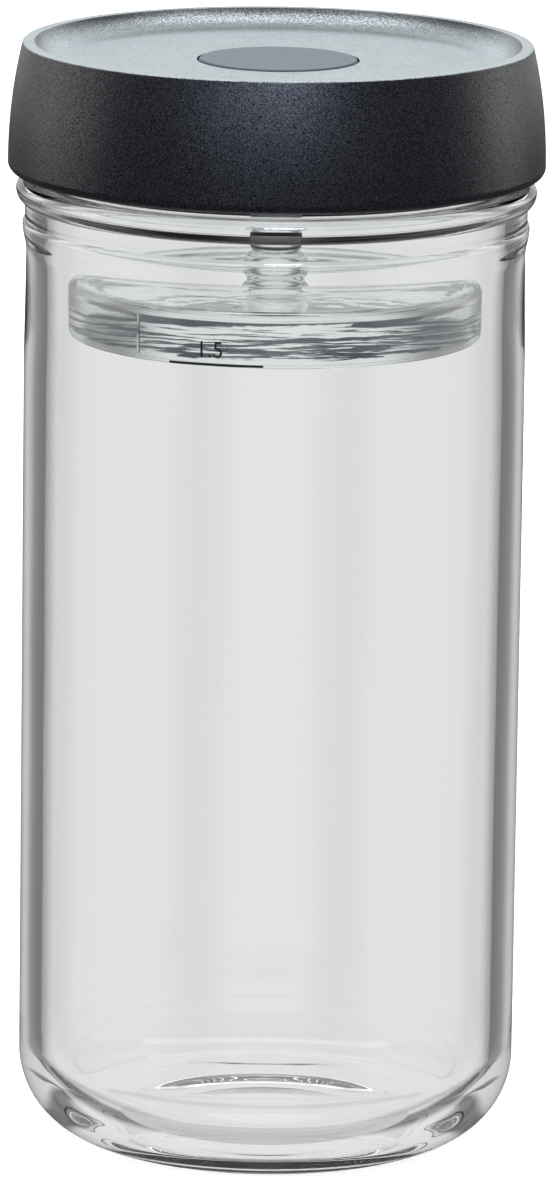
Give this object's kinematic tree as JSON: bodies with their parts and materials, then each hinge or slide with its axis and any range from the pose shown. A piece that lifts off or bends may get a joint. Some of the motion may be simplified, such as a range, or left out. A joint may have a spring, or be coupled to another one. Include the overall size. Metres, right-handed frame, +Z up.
{
  "type": "fermentation jar",
  "caption": "Tall clear glass fermentation jar with a screw lid, a one-way vent valve under a flush silicone cap, and a glass weight with a knob.",
  "frame": {"origin": "centre of the base, on the surface that the jar stands on", "axes": "+Z up the jar's axis to the lid; everything is round about Z except the gas ports and vent slots, which lie on X and Y"},
  "size_m": [0.1208, 0.1208, 0.2514],
  "materials": {
    "clear_glass": "fire-polished soda-lime glass",
    "pressed_glass": "pressed soda-lime glass with slight waves",
    "seal_silicone": "moulded silicone",
    "liner_plastic": "smooth moulded polypropylene",
    "lid_plastic": "fine spark-eroded grain",
    "stem_plastic": "smooth moulded plastic",
    "flap_silicone": "moulded silicone",
    "cap_silicone": "matte moulded silicone",
    "print_ink": "fired screen-print ink"
  },
  "bodies": {
    "jar": {"jar": "clear_glass"},
    "weight": {"glass_weight": "pressed_glass"},
    "seal": {"seal_ring": "seal_silicone"},
    "lid": {"lid_shell": "lid_plastic", "lid_liner": "liner_plastic"},
    "stem": {"press_stem": "stem_plastic"},
    "flap": {"valve_flap": "flap_silicone"},
    "cap": {"valve_cap": "cap_silicone"}
  },
  "joints": [
    {"name": "weight_slide", "type": "slide", "parent": "jar", "child": "weight", "axis": [0, 0, 1], "range_m": [-0.175, 0]},
    {"name": "lid_lift", "type": "slide", "parent": "jar", "child": "seal", "axis": [0, 0, 1], "range_m": [0, 0.06]},
    {"name": "lid_turn", "type": "hinge", "parent": "seal", "child": "lid", "pos_m": [0, 0, 0.2396], "axis": [0, 0, 1], "range_deg": [0, 120]},
    {"name": "stem_pull", "type": "slide", "parent": "lid", "child": "stem", "axis": [0, 0, 1], "range_m": [0, 0.036]},
    {"name": "flap_lift", "type": "slide", "parent": "stem", "child": "flap", "axis": [0, 0, 1], "range_m": [0, 0.0006]},
    {"name": "cap_lift", "type": "slide", "parent": "stem", "child": "cap", "axis": [0, 0, 1], "range_m": [0, 0.006]}
  ]
}
